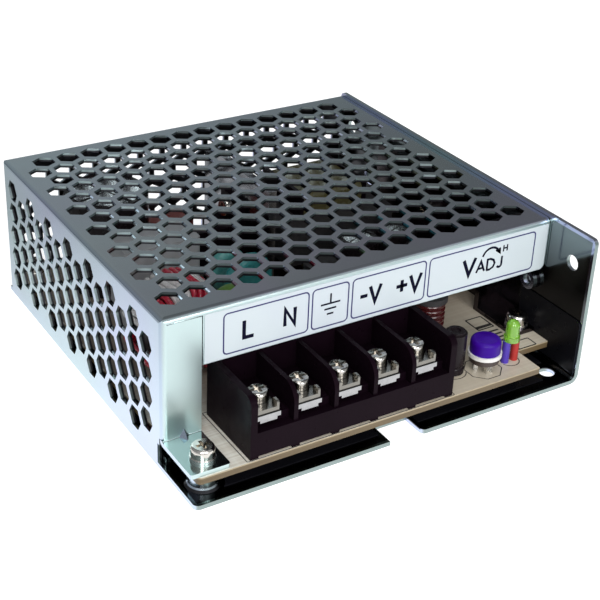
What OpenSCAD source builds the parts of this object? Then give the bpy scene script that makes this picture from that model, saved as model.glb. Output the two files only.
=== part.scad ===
// Enclosed single-output power supply in a hexagonal-mesh steel case.
// X runs left to right, Y front to back, Z up. The origin is the centre of the footprint.

/* [Case] */
// Overall width of the case
case_w = 97; // [92:0.5:110]
// Overall depth of the case
case_d = 99; // [95:0.5:115]
// Height of the chassis side wall
wall_h = 36; // [34:0.5:44]
// Thickness of the steel sheet
sheet_t = 1.0; // [0.8:0.1:1.2]
// Distance of the cover's top below the side wall's edge
cover_drop = 0.8; // [0.2:0.1:1.5]
// Distance of the cover's front behind the chassis edge
cover_setback = 14.2; // [13:0.2:15]
// Outer fold radius of the chassis
chassis_fold_r = 2.2; // [1.4:0.1:3]
// Outer fold radius of the cover
cover_fold_r = 1.2; // [1.1:0.1:2.2]
// Radius of the sheet's free corners
sheet_corner_r = 1.2; // [0.5:0.1:2]
// Running gap between cover and side wall
cover_gap = 0.1; // [0.05:0.05:0.4]

/* [Cover front] */
// Height of the label flange
label_flange_h = 12.5; // [10:0.25:13]
// Width of the corner flange
corner_flange_w = 8.8; // [8:0.2:10]
// Width of the slits between neighbouring flanges
slit_w = 0.2; // [0.1:0.05:0.5]
// Distance of the foot's front edge behind the board's front edge
foot_inset = 0.4; // [0.2:0.1:1.5]
// Width of the stiffening dart in the foot's fold
dart_w = 2.2; // [1.4:0.1:2.6]
// Length of the dart along each side of the fold
dart_l = 1.8; // [1.2:0.1:1.9]

/* [Mesh] */
// Width of a hole across its flats
hex_af = 4.85; // [3.5:0.05:5.1]
// Hole pitch across the top and the back
mesh_pitch_x = 6.12; // [6:0.02:7]
// Hole pitch up the left wall
mesh_pitch_z = 5.9; // [5.8:0.02:6.6]
// Distance between rows of holes
mesh_row = 5.52; // [5.4:0.02:6.2]
// Least distance from a row of holes to the cover's front face
mesh_front = 7.1; // [7:0.1:10]
// Least distance from a hole's centre to the other edges
mesh_margin = 5.0; // [4.5:0.1:7]
// Distance of the highest holes below the cover's top
mesh_top = 6.0; // [5.5:0.1:7]

/* [Chassis] */
// Width of the notch in the front edge
notch_w = 8.2; // [6:0.2:12]
// Depth of the notch
notch_d = 6.1; // [4:0.1:8]
// Distance of the notch's centre from the left edge
notch_x = 49.8; // [46:0.2:52]
// Height of the tab turned up behind the notch
notch_tab_h = 3.2; // [2:0.1:3.4]
// Diameter of the plain mounting holes
mount_hole_d = 3.6; // [3.2:0.1:4.5]
// Distance of a plain base hole from the right edge
base_hole_x = 4.4; // [4.2:0.1:5]
// Distance of the base holes from the front and back edges
base_hole_y = 5.3; // [4:0.1:7]
// Distance of the side holes from the front and back edges
side_hole_y = 5.9; // [4:0.1:8]
// Height of the side holes
side_hole_z = 28.0; // [24:0.5:30]
// Bore of the drawn and tapped side holes
tapped_d = 2.5; // [2.4:0.1:3.3]
// Distance of the tapped holes from the front and back edges
tapped_y = 17.6; // [16:0.2:20]
// Height of the tapped holes
tapped_z = 18.6; // [16:0.2:20]

/* [Board] */
// Thickness of the circuit board
board_t = 1.6; // [1.2:0.1:2]
// Height of the drawn bosses that carry the board
boss_h = 3.6; // [3:0.1:5]
// Diameter of the bosses
boss_d = 6.0; // [5:0.1:7]
// Clearance between the board and the case walls
board_gap = 0.4; // [0.2:0.1:0.8]
// Distance of the board's front edge behind the chassis edge
board_front = 1.5; // [0.5:0.1:2.5]
// Width of the step in the board's front right corner
board_step_w = 9.1; // [8:0.1:9.5]
// Depth of the step
board_step_d = 7.9; // [7.6:0.1:9]
// Thread diameter of the board screws
screw_d = 3.0; // [2.5:0.1:3]
// Thickness of the insulating film
film_t = 0.25; // [0.1:0.05:0.5]
// Thickness of the label
label_t = 0.15; // [0.1:0.05:0.3]

/* [Terminal block] */
// Number of terminals
poles = 5; // [3:1:5]
// Distance between neighbouring terminals
pole_pitch = 9.5; // [9.2:0.1:9.8]
// Thickness of a barrier
barrier_t = 1.0; // [0.8:0.1:1.1]
// Depth of the block, front to back
block_d = 18.1; // [17.5:0.1:20]
// Overall height of the block
block_h = 14.2; // [13.6:0.1:15.6]
// Height of the deck that carries the plates
deck_h = 7.8; // [7:0.1:8]
// Height of the apron below the terminals
apron_h = 6.0; // [5:0.1:6.4]
// Distance of the screws behind the block's front face
pole_y = 5.8; // [5.4:0.1:6.4]
// Distance of the screws to the left of the middle of their bays
screw_offset = 1.05; // [0:0.05:1.2]
// Thread diameter of the terminal screws
terminal_screw_d = 2.6; // [2.4:0.1:3]
// Diameter of the terminal screw heads
terminal_head_d = 4.5; // [4.2:0.1:5]
// Height of the terminal screw heads
terminal_head_h = 1.5; // [1.2:0.1:1.8]
// Thickness of the spring washer under each head
spring_t = 0.6; // [0.4:0.1:0.7]
// Thickness of plates and clamp washers
plate_t = 1.0; // [0.8:0.1:1.2]
// Thickness of a clamp washer's turned-up sides
clamp_ear_t = 0.55; // [0.4:0.05:0.6]
// Height of a clamp washer's turned-up sides
clamp_ear_h = 1.2; // [0.8:0.1:1.6]

/* [Adjuster and lamp] */
// Diameter of the adjuster's knob
knob_d = 6.8; // [6:0.1:7.6]
// Height of the knob
knob_h = 3.6; // [3:0.1:6]
// Diameter of the lamp's lens
lamp_d = 3.0; // [2.9:0.1:3.4]
// Height of the sleeves under the lamp
sleeve_h = 5.3; // [3:0.1:6]

/* [Power parts] */
// Diameter of the mains reservoir capacitor
bulk_d = 20; // [16:0.5:21]
// Height of the mains reservoir capacitor
bulk_h = 24; // [18:0.5:25]
// Length of the transformer core
core_l = 30; // [26:0.5:31]
// Width of the transformer core
core_w = 27; // [25:0.5:28]
// Thickness of the transformer core
core_t = 10; // [8:0.5:11]
// Outer diameter of the line filter's ring core
ring_d = 17; // [14:0.5:18]
// Thickness of the ring core
ring_t = 7; // [5:0.5:8]
// Thickness of the winding on the ring core
winding_t = 1.8; // [1:0.1:2]
// Diameter of the output capacitors
output_can_d = 10; // [8:0.5:10.5]
// Height of the output capacitors
output_can_h = 16; // [12:0.5:20]
// Thickness of the heatsink plates
sink_t = 2.0; // [1.5:0.1:2.5]
// Height of the heatsink plates
sink_h = 26; // [20:0.5:26.5]

/* [Hidden] */
$fn = 48;

// Heights and edges of the case, from its front left bottom corner
cover_top = wall_h - cover_drop;
cover_w = case_w - sheet_t - cover_gap;
cover_inner_r = max(cover_fold_r - sheet_t, 0.1);
flange_bottom = cover_top - label_flange_h;
board_z = sheet_t + boss_h;
board_top = board_z + board_t;
board_left = sheet_t + board_gap;
board_right = case_w - sheet_t - board_gap;
board_back = case_d - sheet_t - board_gap;
foot_top = board_top + sheet_t;
eps = 0.01;

// Fixings of the board
screw_head_d = screw_d * 1.66;
screw_head_h = screw_d * 0.8;
washer_t = 0.6;
thread_gap = 0.05;
screw_tip = 0.3;
boss_edge = 3.0;
side_boss_y = 17.6;
boss_flare_d = boss_d + 1.4;
back_boss_edge = boss_flare_d / 2 + 0.2;
boss_at = [
    [sheet_t + 3.85, board_front + 4.75],
    [case_w - sheet_t - boss_edge, side_boss_y],
    [sheet_t + back_boss_edge, case_d - sheet_t - back_boss_edge],
    [case_w - sheet_t - boss_edge, case_d - side_boss_y]
];

// Rows and columns of the mesh
top_cols = floor((cover_w - 2 * mesh_margin) / mesh_pitch_x) + 1;
top_rows = floor((case_d - cover_setback - mesh_front - mesh_margin) / mesh_row) + 1;
side_rows = floor((cover_top - mesh_top - mesh_margin) / mesh_pitch_z) + 1;
back_rows = floor((cover_top - mesh_top - mesh_margin) / mesh_row) + 1;
first_col = (cover_w - (top_cols - 1) * mesh_pitch_x) / 2;
first_row = cover_setback + mesh_front;

// Terminal block
block_x = sheet_t + 12.1;
block_y = board_front + 0.4;
block_w = poles * pole_pitch + barrier_t + 1;
block_end_t = (block_w - poles * pole_pitch + barrier_t) / 2;
barrier_drop = 0.4;
deck_z = board_top + deck_h;
plate_top = deck_z + plate_t;
clamp_gap = 0.08;
clamp_w = terminal_head_d + 0.5;
clamp_front = 4.3;
clamp_back = 2.7;
clamp_ear_l = 2.0;
plate_w = clamp_w + 0.5;
clamp_z = plate_top + clamp_gap;
head_z = clamp_z + plate_t + clamp_gap;
terminal_screw_l = 8.5;
function pole_x(i) = block_x + block_w / 2 + (i - (poles - 1) / 2) * pole_pitch;
function screw_x(i) = pole_x(i) - screw_offset;

// Adjuster and lamp
trimmer_at = [75.0, 7.1];
trimmer_base_z = board_top + 2.4;
trimmer_base_d = knob_d - 0.2;
trimmer_base_h = 1.3;
rotor_z = trimmer_base_z + trimmer_base_h + 0.1;
rotor_h = 0.9;
rotor_d = knob_d + 0.7;
shaft_d = 2.4;
shaft_gap = 0.08;
lamp_at = [82.35, 7.1];
lamp_leads = 1.27;
sleeve_d = 1.8;
lead_d = 0.6;

// Sizes of the smaller parts
fuse_d = 5.2;
fuse_l = 20;
thermistor_d = 11;
varistor_d = 13;
safety_d = 11;
disc_t = 4;
line_cap = [19, 9, 19.6];
bridge = [15, 4, 11];
snubber = [12, 5, 10];
control_can_d = 5;
control_can_h = 10.6;
drum_d = 8;
drum_h = 13;
drum_rim = 1.4;
drum_neck_d = 4;
resistor_d = 2.3;
resistor_l = 6.3;

// Places of the parts on the board, from the case's front left corner; the rear ones follow its depth
fixed_y = 40;
stretch = (case_d - fixed_y) / (99 - fixed_y);
function deep(x, y) = [x, fixed_y + (y - fixed_y) * stretch];
control_can_at = [68.2, 9.3];
fuse_at = [33, 26.5];
thermistor_at = deep(32.5, 46.2);
varistor_at = deep(42, 54);
safety_at = [[7.5, 27.5], deep(40.7, 62)];
line_cap_at = deep(22.2, 62.5);
ring_at = [16, 39.5];
bridge_at = deep(38, 71);
bulk_at = deep(19, 82);
primary_sink_at = deep(50.4, 59.5);
primary_sink_l = case_d - sheet_t - 6.5 - primary_sink_at[1];
transistor_y = primary_sink_l / 2;
core_at = deep(70.5, 71.5);
output_cans_at = [deep(67.8, 47.5), deep(79, 47.5), [79, 36]];
drum_at = [70.2, 21.7];
filter_drum_at = deep(56.3, 45.5);
opto_at = [48.5, 27.5];
chip_at = [46, 37];
resistors_at = [[57.5, 31], [57.5, 34.5], deep(36, 76), deep(36, 80), deep(36, 84)];
snubber_at = deep(39, 89);
core_lift = 5.6;
yoke_t = core_l * 0.18;
core_leg_w = core_w * 0.28;
window_w = core_w * 0.2;
core_gap = 0.1;
wrap_gap = 0.05;
tube_t = 0.8;
cheek_h = core_lift + core_t + 6.4;
output_sink_y = 27.5;
rectifier_y = (case_d - side_boss_y - 3.9 - output_sink_y) / 2;
tab_t = 1.3;
tab_hole_z = 16;

// ---- helpers ----

// Puts the footprint's centre at the origin
module in_case() { translate([-case_w / 2, -case_d / 2, 0]) children(); }

// On the board's top at a place given from the case's corner
module on_board(at) { translate([at[0], at[1], board_top]) children(); }

// A rectangle with some of its corners rounded, as true arcs; corners: [x0y0, x1y0, x1y1, x0y1]
module round_rect(size, r, corners = [1, 1, 1, 1]) {
    places = [[0, 0], [size[0], 0], [size[0], size[1]], [0, size[1]]];
    difference() {
        square(size);
        for (i = [0:3])
            if (corners[i])
                translate([min(places[i][0], size[0] - r), min(places[i][1], size[1] - r)]) square(r);
    }
    for (i = [0:3])
        if (corners[i])
            intersection() {
                translate([abs(places[i][0] - r), abs(places[i][1] - r)]) circle(r);
                square(size);
            }
}

// A profile in the YZ plane, drawn out along X
module along_x(from, to) { translate([from, 0, 0]) rotate([90, 0, 90]) linear_extrude(to - from) children(); }

// A profile in the XZ plane, drawn out along Y
module along_y(from, to) { translate([0, to, 0]) rotate([90, 0, 0]) linear_extrude(to - from) children(); }

// A profile in the XY plane, drawn out along Z
module along_z(from, to) { translate([0, 0, from]) linear_extrude(to - from) children(); }

// A box with rounded upright edges, centred on its footprint
module block(size, r) {
    translate([-size[0] / 2, -size[1] / 2, 0]) linear_extrude(size[2]) round_rect([size[0], size[1]], r);
}

// A cylinder lying along X, centred
module rod_x(d, l) { rotate([0, 90, 0]) cylinder(d = d, h = l, center = true); }

// Two leads that stand on the board
module lead_pair(spacing, h, turn = 0) {
    rotate(turn)
        for (s = [-1, 1]) translate([s * spacing / 2, 0, 0]) cylinder(d = lead_d, h = h, $fn = 16);
}

// Hexagon with flats to the left and right
module hex_upright() { rotate(30) circle(d = hex_af / cos(30), $fn = 6); }

// Hexagon with flats above and below
module hex_flat() { circle(d = hex_af / cos(30), $fn = 6); }

// ---- case ----

module boss_solid() {
    cylinder(d1 = boss_flare_d, d2 = boss_d, h = 0.8);
    cylinder(d = boss_d, h = boss_h);
}

module tapped_boss() {
    rotate([0, -90, 0]) cylinder(d = tapped_d + 2.2, h = 1.5);
}

// Folded from one sheet: base and right side wall
module chassis() {
    inner_r = chassis_fold_r - sheet_t;
    color("lightgray") in_case() difference() {
        union() {
            difference() {
                along_y(0, case_d) difference() {
                    round_rect([case_w, wall_h], chassis_fold_r, [0, 1, 0, 0]);
                    translate([-1, sheet_t])
                        round_rect([case_w - sheet_t + 1, wall_h], inner_r, [0, 1, 0, 0]);
                }
                // Free corners of the base and of the wall
                along_z(-1, sheet_t + 1) difference() {
                    translate([-1, -1]) square(sheet_corner_r + 1);
                    translate([sheet_corner_r, sheet_corner_r]) circle(sheet_corner_r);
                }
                along_x(case_w - 2 * sheet_t, case_w + 1)
                    for (end = [0, 1]) translate([end * case_d, 0]) mirror([end, 0]) difference() {
                        translate([-1, wall_h - sheet_corner_r]) square(sheet_corner_r + 1);
                        translate([sheet_corner_r, wall_h - sheet_corner_r]) circle(sheet_corner_r);
                    }
                front_notch();
            }
            for (at = boss_at) translate([at[0], at[1], sheet_t]) boss_solid();
            for (y = [tapped_y, case_d - tapped_y])
                translate([case_w - sheet_t + eps, y, tapped_z]) tapped_boss();
            notch_tab();
            cover_stops();
        }
        for (at = boss_at)
            translate([at[0], at[1], -1]) cylinder(d = screw_d + 2 * thread_gap, h = board_z + 2);
        for (y = [base_hole_y, case_d - base_hole_y])
            translate([case_w - base_hole_x, y, -1]) cylinder(d = mount_hole_d, h = sheet_t + 2);
        for (y = [side_hole_y, case_d - side_hole_y])
            translate([case_w - sheet_t / 2, y, side_hole_z]) rod_x(mount_hole_d, sheet_t + 2);
        for (y = [tapped_y, case_d - tapped_y])
            translate([case_w - sheet_t, y, tapped_z]) rod_x(tapped_d, 4 * sheet_t + 4);
    }
}

// Notch in the front edge, with one rounded and one sharp mouth corner
module front_notch() {
    along_z(-1, sheet_t + 1) {
        translate([notch_x - notch_w / 2, -1]) square([notch_w, notch_d + 1]);
        translate([notch_x + notch_w / 2, -1]) difference() {
            square([sheet_corner_r, sheet_corner_r + 1]);
            translate([sheet_corner_r, sheet_corner_r + 1]) circle(sheet_corner_r);
        }
    }
}

// Tab turned up at the back of the notch, under the board
module notch_tab() {
    w = notch_w - 1.6;
    along_y(notch_d, notch_d + sheet_t) translate([notch_x - w / 2, sheet_t - eps])
        round_rect([w, notch_tab_h], 1.4, [0, 0, 1, 1]);
}

// Small upright stops that locate the cover's left wall
module cover_stops() {
    stop = [0.9, 1.7, 1.6];
    for (y = [cover_setback + 0.5, case_d / 2, case_d - 12])
        translate([sheet_t + cover_gap, y, sheet_t - eps]) cube([stop[0], stop[1], stop[2] + eps]);
}

// The space that a rounded box fills, less t on every side
module cover_box(t) {
    r = t > 0 ? cover_inner_r : cover_fold_r;
    size = [cover_w, case_d - cover_setback, cover_top];
    translate([0, cover_setback, 0]) intersection() {
        along_y(t - 1, size[1]) translate([t, 0])
            round_rect([size[0], size[2] - t], r, [0, 0, 0, 1]);
        along_x(t - 1, size[0] + 1) translate([t, 0])
            round_rect([size[1] - 2 * t, size[2] - t], r, [0, 0, 1, 1]);
        along_z(-1, size[2]) translate([t, t])
            round_rect([size[0], size[1] - 2 * t], r, [1, 0, 0, 1]);
    }
}

// Folded from one sheet: mesh top, left wall and back, and the front flanges
module mesh_cover() {
    color("silver") in_case() {
        difference() {
            cover_box(0);
            cover_box(sheet_t);
            translate([cover_w, 0, -1]) cube([sheet_t * 3, case_d + 1, wall_h + 2]);
            translate([-1, cover_setback - 1, -1]) cube([case_w + 2, case_d, sheet_t + 1]);
            front_opening();
            seams();
            // Clears the chassis fold at the back
            translate([case_w - chassis_fold_r - 0.3, cover_setback + cover_fold_r, 0])
                cube([chassis_fold_r + 1, case_d, chassis_fold_r + 0.3]);
            mesh_holes();
        }
        foot();
    }
}

// Everything below the label flange, apart from the corner flange
module front_opening() {
    depth = cover_setback + cover_fold_r;
    corner_r = 1.6;
    translate([corner_flange_w, cover_setback - 1, 0])
        cube([case_w, cover_fold_r + 1, flange_bottom]);
    // The corner flange stops at its fold above the foot, clear of the side
    translate([-1, cover_setback - 1, 0])
        cube([corner_flange_w + 2, cover_fold_r + 1.15, foot_top + cover_inner_r]);
    // Relief notch in the lower front corner of the side
    translate([-1, cover_setback - 1, 0]) cube([sheet_t + 2, 3.2, board_top - 0.5]);
    // The label flange ends short of the side wall with a rounded corner
    along_y(cover_setback - 1, depth) difference() {
        translate([cover_w - corner_r, flange_bottom - 1]) square([corner_r + 1, corner_r + 1]);
        translate([cover_w - corner_r, flange_bottom + corner_r]) circle(corner_r);
    }
}

// Slits where the sheet's edges meet without being joined
module seams() {
    top = cover_top - cover_fold_r;
    translate([corner_flange_w, cover_setback - 1, 0]) cube([slit_w, cover_fold_r + 1, top]);
    translate([cover_fold_r, cover_setback - 1, top - slit_w])
        cube([corner_flange_w - cover_fold_r + slit_w, cover_fold_r + 1, slit_w]);
    translate([cover_fold_r, case_d - cover_fold_r, 0]) cube([slit_w, cover_fold_r + 1, top]);
}

module mesh_holes() {
    // Top
    along_z(cover_top - 2 * sheet_t, cover_top + 1)
        for (j = [0:top_rows - 1], i = [0:top_cols - 1 - j % 2])
            translate([first_col + (i + (j % 2) / 2) * mesh_pitch_x, first_row + j * mesh_row])
                hex_upright();
    // Left wall
    along_x(-1, 2 * sheet_t)
        for (j = [0:top_rows - 1], i = [0:side_rows - 2 + j % 2])
            translate([first_row + j * mesh_row, cover_top - mesh_top - (i + (1 - j % 2) / 2) * mesh_pitch_z])
                hex_flat();
    // Back
    along_y(case_d - 2 * sheet_t, case_d + 1)
        for (k = [0:back_rows - 1], i = [0:top_cols - 2 + k % 2])
            translate([first_col + (i + (1 - k % 2) / 2) * mesh_pitch_x, cover_top - mesh_top - k * mesh_row])
                hex_upright();
}

// Foot folded forward from the corner flange, over the board's corner
module foot() {
    front = board_front + foot_inset;
    bend_y = cover_setback - cover_inner_r;
    bend_z = foot_top + cover_inner_r;
    difference() {
        union() {
            along_z(board_top, foot_top)
                translate([0, front]) round_rect([corner_flange_w, bend_y - front], 0.6, [1, 1, 0, 0]);
            along_x(0, corner_flange_w) intersection() {
                translate([bend_y, bend_z]) difference() {
                    circle(cover_fold_r);
                    circle(cover_inner_r);
                }
                translate([bend_y, bend_z - cover_fold_r]) square(cover_fold_r);
            }
            fold_dart();
        }
        translate([boss_at[0][0], boss_at[0][1], 0]) cylinder(d = screw_d + 0.4, h = wall_h);
    }
}

// Stiffening dart pressed into the fold: its ridge runs down at 45 degrees and ends in both sides
module fold_dart() {
    reach = dart_l / sqrt(2);
    translate([boss_at[0][0], cover_setback, foot_top]) rotate([135, 0, 0])
        translate([0, 0, -reach]) linear_extrude(2 * reach)
            polygon([[-dart_w / 2, 0], [dart_w / 2, 0], [0, reach]]);
}

// Printed label on the label flange
module front_label() {
    x0 = corner_flange_w + slit_w + 0.3;
    x1 = cover_w - 0.4;
    z0 = flange_bottom + 0.2;
    color("white") in_case() along_y(cover_setback - label_t, cover_setback)
        translate([x0, z0]) round_rect([x1 - x0, cover_top - cover_fold_r - z0], 1.2, [0, 1, 0, 0]);
}

// ---- board ----

module board_outline() {
    w = board_right - board_left;
    difference() {
        translate([board_left, board_front])
            round_rect([w, board_back - board_front], sheet_corner_r);
        translate([board_right - board_step_w, board_front - 1]) square([board_step_w + 1, board_step_d + 1]);
    }
}

module circuit_board() {
    color("tan") in_case() along_z(board_z, board_top) difference() {
        board_outline();
        for (at = boss_at) translate(at) circle(d = screw_d + 0.4);
    }
}

// Insulating film on the base, clear of the bosses and the notch
module insulating_film() {
    inset = 3;
    color("dimgray") in_case() along_z(sheet_t, sheet_t + film_t) difference() {
        translate([inset, inset]) round_rect([case_w - 2 * inset, case_d - 2 * inset], sheet_corner_r);
        for (at = boss_at) translate(at) circle(d = boss_d + 3);
        for (y = [base_hole_y, case_d - base_hole_y])
            translate([case_w - base_hole_x, y]) circle(d = mount_hole_d + 4);
        translate([notch_x - notch_w / 2 - 1, -1]) square([notch_w + 2, notch_d + sheet_t + 2.5]);
    }
}

// Height of what lies on the board under each screw
function screw_seat(i) = i < 2 ? foot_top : board_top;

module board_screws() {
    color("gainsboro") in_case()
        for (i = [0:len(boss_at) - 1])
            translate([boss_at[i][0], boss_at[i][1], 0]) {
                seat = screw_seat(i) + washer_t;
                difference() {
                    translate([0, 0, seat]) pan_head(screw_head_d, screw_head_h);
                    translate([0, 0, seat]) cross_recess(screw_head_d, screw_head_h);
                }
                translate([0, 0, screw_tip]) cylinder(d = screw_d, h = seat - screw_tip);
            }
}

module board_washers() {
    color("silver") in_case()
        for (i = [0:len(boss_at) - 1])
            translate([boss_at[i][0], boss_at[i][1], screw_seat(i)]) difference() {
                cylinder(d = screw_head_d + 0.4, h = washer_t);
                translate([0, 0, -1]) cylinder(d = screw_d + 0.2, h = washer_t + 2);
            }
}

// Pan head with a crowned top
module pan_head(d, h) {
    r = d / 2;
    edge = h * 0.62;
    rotate_extrude() polygon(concat(
        [[0, 0], [r, 0], [r, edge]],
        [for (a = [15:15:90]) [r * (0.72 + 0.28 * cos(a)) * (a == 90 ? 0 : 1), edge + (h - edge) * sin(a)]]
    ));
}

module cross_recess(d, h) {
    for (turn = [0, 90])
        rotate(turn) translate([-d * 0.28, -d * 0.075, h * 0.35]) cube([d * 0.56, d * 0.15, h]);
}

// ---- terminals ----

module terminal_housing() {
    back_t = 2.6;
    y1 = block_y + block_d;
    foot_z = board_top + apron_h - 1;
    color("#241f20") in_case() difference() {
        union() {
            along_x(block_x, block_x + block_w) polygon([
                [block_y, board_top], [block_y, board_top + apron_h], [block_y + 2.4, board_top + apron_h],
                [block_y + 2.4, deck_z], [y1 - back_t, deck_z], [y1 - back_t, board_top + block_h],
                [y1, board_top + block_h], [y1, board_top]
            ]);
            for (i = [0:poles]) {
                end = i == 0 || i == poles;
                x = i == 0 ? block_x : i == poles ? block_x + block_w - block_end_t :
                    pole_x(i) - pole_pitch / 2 - barrier_t / 2;
                // The inner barriers stand lower and further back, with a wider curve
                y0 = block_y + (end ? 0 : barrier_drop);
                top = board_top + block_h - (end ? 0 : barrier_drop);
                along_x(x, x + (end ? block_end_t : barrier_t)) translate([y0, foot_z])
                    round_rect([y1 - 1 - y0, top - foot_z], end ? 2 : 4, [0, 0, 0, 1]);
            }
        }
        for (i = [0:poles - 1]) {
            translate([screw_x(i), block_y + pole_y, board_top + 0.8])
                cylinder(d = terminal_screw_d + 1, h = block_h);
            // Moulding relief under the apron
            translate([pole_x(i) - pole_pitch / 2 + 0.9, block_y - 1, board_top - 1])
                cube([pole_pitch - 1.8, 1.8, 1.5]);
        }
    }
}

// Flat contact plates, each with a narrower lip bent down over the deck's edge
module terminal_plates() {
    lip_w = plate_w - 1.6;
    lip_h = 0.65;
    front = block_y + 1.2;
    back = block_y + 11.4;
    color("silver") in_case()
        for (i = [0:poles - 1]) translate([screw_x(i), 0, 0]) difference() {
            union() {
                translate([-plate_w / 2, front, deck_z]) cube([plate_w, back - front, plate_t]);
                translate([-lip_w / 2, front, deck_z - lip_h]) cube([lip_w, plate_t, lip_h + eps]);
            }
            translate([0, block_y + pole_y, 0])
                cylinder(d = terminal_screw_d + 2 * thread_gap, h = wall_h);
        }
}

// Clamp washer with an ear turned up at each side of its front
module clamp_washer(i) {
    color("gainsboro") in_case() translate([screw_x(i), block_y + pole_y, clamp_z]) difference() {
        union() {
            translate([-clamp_w / 2, -clamp_front, 0]) linear_extrude(plate_t)
                round_rect([clamp_w, clamp_front + clamp_back], 0.5, [0, 0, 1, 1]);
            for (s = [-1, 1])
                along_x((s * (clamp_w - clamp_ear_t) - clamp_ear_t) / 2,
                        (s * (clamp_w - clamp_ear_t) + clamp_ear_t) / 2)
                    translate([-clamp_front, plate_t / 2])
                        round_rect([clamp_ear_l, clamp_ear_h + plate_t / 2], 0.5, [0, 0, 1, 1]);
        }
        translate([0, 0, -1]) cylinder(d = terminal_screw_d + 2 * shaft_gap, h = 4);
    }
}

// Pan-head screw with a slot and a cross recess, on its captive spring washer
module terminal_screw(i) {
    neck_h = 0.1;
    color("gainsboro") in_case() translate([screw_x(i), block_y + pole_y, head_z]) {
        difference() {
            cylinder(d = terminal_head_d, h = spring_t);
            translate([terminal_screw_d / 2, -0.15, -1]) cube([terminal_head_d, 0.3, spring_t + 2]);
        }
        cylinder(d = terminal_head_d - 0.6, h = spring_t + neck_h);
        translate([0, 0, spring_t + neck_h]) difference() {
            pan_head(terminal_head_d, terminal_head_h);
            translate([-terminal_head_d, -0.4, terminal_head_h * 0.5])
                cube([2 * terminal_head_d, 0.8, terminal_head_h]);
            translate([-0.45, -terminal_head_d * 0.29, terminal_head_h * 0.35])
                cube([0.9, terminal_head_d * 0.58, terminal_head_h]);
        }
        translate([0, 0, 0.6 - terminal_screw_l]) cylinder(d = terminal_screw_d, h = terminal_screw_l - 0.6);
        translate([0, 0, -terminal_screw_l])
            cylinder(d1 = terminal_screw_d - 1, d2 = terminal_screw_d, h = 0.6);
    }
}

// ---- adjuster and lamp ----

module trimmer_base() {
    color("#5a3a28") in_case() translate([trimmer_at[0], trimmer_at[1], trimmer_base_z]) difference() {
        cylinder(d = trimmer_base_d, h = trimmer_base_h);
        translate([0, 0, -1]) cylinder(d = shaft_d + 2 * shaft_gap, h = trimmer_base_h + 2);
    }
}

// Three channel-shaped legs that carry the base, open outwards
module trimmer_legs() {
    leg = [0.9, 1.7, trimmer_base_z - board_top];
    leg_t = 0.35;
    color("silver") in_case() on_board(trimmer_at)
        for (a = [-90, 30, 150]) rotate(a) translate([shaft_d / 2 + 0.1, -leg[1] / 2, 0]) difference() {
            cube(leg);
            translate([leg_t, leg_t, -1]) cube([leg[0], leg[1] - 2 * leg_t, leg[2] + 2]);
        }
}

module trimmer_rotor() {
    color("white") in_case() translate([trimmer_at[0], trimmer_at[1], rotor_z]) {
        cylinder(d = rotor_d, h = rotor_h);
        translate([0, 0, -trimmer_base_h + 0.2]) cylinder(d = shaft_d, h = trimmer_base_h);
    }
}

// Domed knob with a rounded shoulder
module trimmer_knob() {
    r = knob_d / 2;
    shoulder = 1.0;
    color("#4a2fc0") in_case() translate([trimmer_at[0], trimmer_at[1], rotor_z + rotor_h])
        rotate_extrude() {
            square([r, knob_h - shoulder - 0.3]);
            square([r - shoulder, knob_h - 0.3]);
            translate([r - shoulder, knob_h - shoulder - 0.3]) intersection() {
                circle(shoulder);
                square(shoulder);
            }
            polygon([[0, knob_h - 0.3 - eps], [r - shoulder, knob_h - 0.3 - eps], [0, knob_h]]);
        }
}

module power_lamp() {
    flange_d = lamp_d + 0.6;
    flange_h = 1.2;
    barrel_h = 3.7;
    color("limegreen") in_case() on_board(lamp_at) {
        translate([0, 0, sleeve_h]) difference() {
            cylinder(d = flange_d, h = flange_h);
            translate([lamp_d / 2 + 0.1, -flange_d, -1]) cube([flange_d, 2 * flange_d, flange_h + 2]);
        }
        translate([0, 0, sleeve_h]) cylinder(d = lamp_d, h = barrel_h);
        translate([0, 0, sleeve_h + barrel_h - eps]) intersection() {
            sphere(d = lamp_d);
            cylinder(d = lamp_d + 1, h = lamp_d);
        }
    }
}

module lamp_sleeve(side) {
    on_board(lamp_at) translate([side * lamp_leads, 0, 0]) difference() {
        cylinder(d = sleeve_d, h = sleeve_h);
        translate([0, 0, -1]) cylinder(d = lead_d + 0.2, h = sleeve_h + 2, $fn = 16);
    }
}

module lamp_sleeve_blue() { color("mediumblue") in_case() lamp_sleeve(-1); }

module lamp_sleeve_red() { color("red") in_case() lamp_sleeve(1); }

// ---- parts on the board ----

// Radial can with a crimp groove, standing on the board
module can(d, h) {
    groove_z = d * 0.16 + 1.2;
    rotate_extrude() difference() {
        union() {
            square([d / 2 - 0.5, h]);
            translate([0, 0.4]) square([d / 2, h - 0.9]);
        }
        translate([d / 2 + 0.25, groove_z]) circle(0.6, $fn = 24);
        translate([-1, h - 0.4]) square([d / 2 - 0.4, 1]);
    }
}

// Coated disc on two leads, its face along the given turn
module disc(d, t, turn) {
    lift = 1.6;
    rotate(turn) {
        translate([0, 0, lift + d / 2]) rotate([90, 0, 0]) rotate_extrude() {
            translate([0, -t / 2]) square([d / 2 - t / 2, t]);
            translate([d / 2 - t / 2, 0]) intersection() {
                circle(t / 2, $fn = 24);
                translate([0, -t]) square([t, 2 * t]);
            }
        }
        lead_pair(d * 0.5, lift + d * 0.12);
    }
}

module fuse_tube() {
    color("lightblue") in_case() on_board(fuse_at) translate([0, 0, 5]) rod_x(fuse_d, fuse_l);
}

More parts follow.
